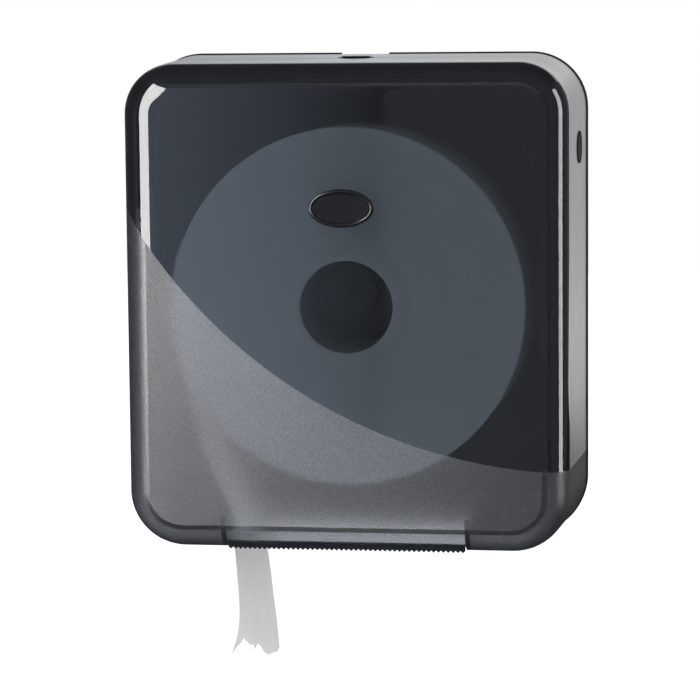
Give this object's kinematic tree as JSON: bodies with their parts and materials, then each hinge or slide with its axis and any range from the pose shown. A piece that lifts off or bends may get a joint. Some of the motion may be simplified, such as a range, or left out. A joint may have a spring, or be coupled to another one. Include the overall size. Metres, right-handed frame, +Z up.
{
  "type": "jumbo toilet roll dispenser",
  "caption": "Wall-mounted jumbo toilet roll dispenser with a smoked drop-down cover, silver trim band, tear slot, top lock and a roll on a turning spindle sleeve.",
  "frame": {"origin": "on the wall plane, at the centre of the four wall screws", "axes": "+X to the right of a person facing it, +Y into the wall, +Z up"},
  "size_m": [0.337, 0.1284, 0.4617],
  "materials": {
    "plate_plastic": "moulded, fine texture",
    "smoked_plastic": "smoked translucent, polished above the sweep line and frosted below it",
    "silver_band": "brushed lengthways",
    "cutter_plastic": "satin",
    "badge_gloss": "polished",
    "badge_face": "satin, blank",
    "grip_rubber": "ribbed",
    "lock_metal": "satin black",
    "plug_metal": "satin dark grey",
    "zinc_steel": "zinc plated",
    "spindle_plastic": "moulded grey",
    "sleeve_plastic": "moulded dark grey",
    "tissue": "soft two-ply tissue",
    "core_board": "spiral wound board"
  },
  "bodies": {
    "wall_side": {"back_plate": "plate_plastic", "hinge_pins": "zinc_steel", "strike_bracket": "zinc_steel", "strike_screws": "zinc_steel", "spindle_post": "spindle_plastic", "spindle_screws": "zinc_steel", "spindle_cap": "spindle_plastic", "spindle_cap_screw": "zinc_steel", "paper_sheet": "tissue"},
    "cover": {"front_cover": "smoked_plastic", "trim_band": "silver_band", "cutter_strip": "cutter_plastic", "badge_bezel": "badge_gloss", "badge_plate": "badge_face", "left_grip_pad": "grip_rubber", "right_grip_pad": "grip_rubber", "lock_body": "lock_metal", "lock_nut": "zinc_steel"},
    "lock": {"lock_plug": "plug_metal", "lock_cam": "zinc_steel", "cam_screw": "zinc_steel"},
    "roll": {"paper_roll": "tissue", "roll_core": "core_board"},
    "sleeve": {"spindle_sleeve": "sleeve_plastic"}
  },
  "joints": [
    {"name": "cover_hinge", "type": "hinge", "parent": "wall_side", "child": "cover", "pos_m": [0, -0.018, -0.172], "axis": [1, 0, 0], "range_deg": [0, 90], "deforming": ["paper_sheet"]},
    {"name": "lock_turn", "type": "hinge", "parent": "cover", "child": "lock", "pos_m": [0, -0.0505, 0.16], "axis": [0, 0, 1], "range_deg": [-90, 0]},
    {"name": "roll_spin", "type": "hinge", "parent": "wall_side", "child": "roll", "pos_m": [0, -0.0575, 0], "axis": [0, 1, 0], "continuous": true},
    {"name": "sleeve_spin", "type": "hinge", "parent": "wall_side", "child": "sleeve", "pos_m": [0, -0.0575, 0.0097], "axis": [0, 1, 0], "continuous": true}
  ],
  "couplings": [
    {"joint": "sleeve_spin", "follows": "roll_spin", "ratio": 1.4}
  ]
}
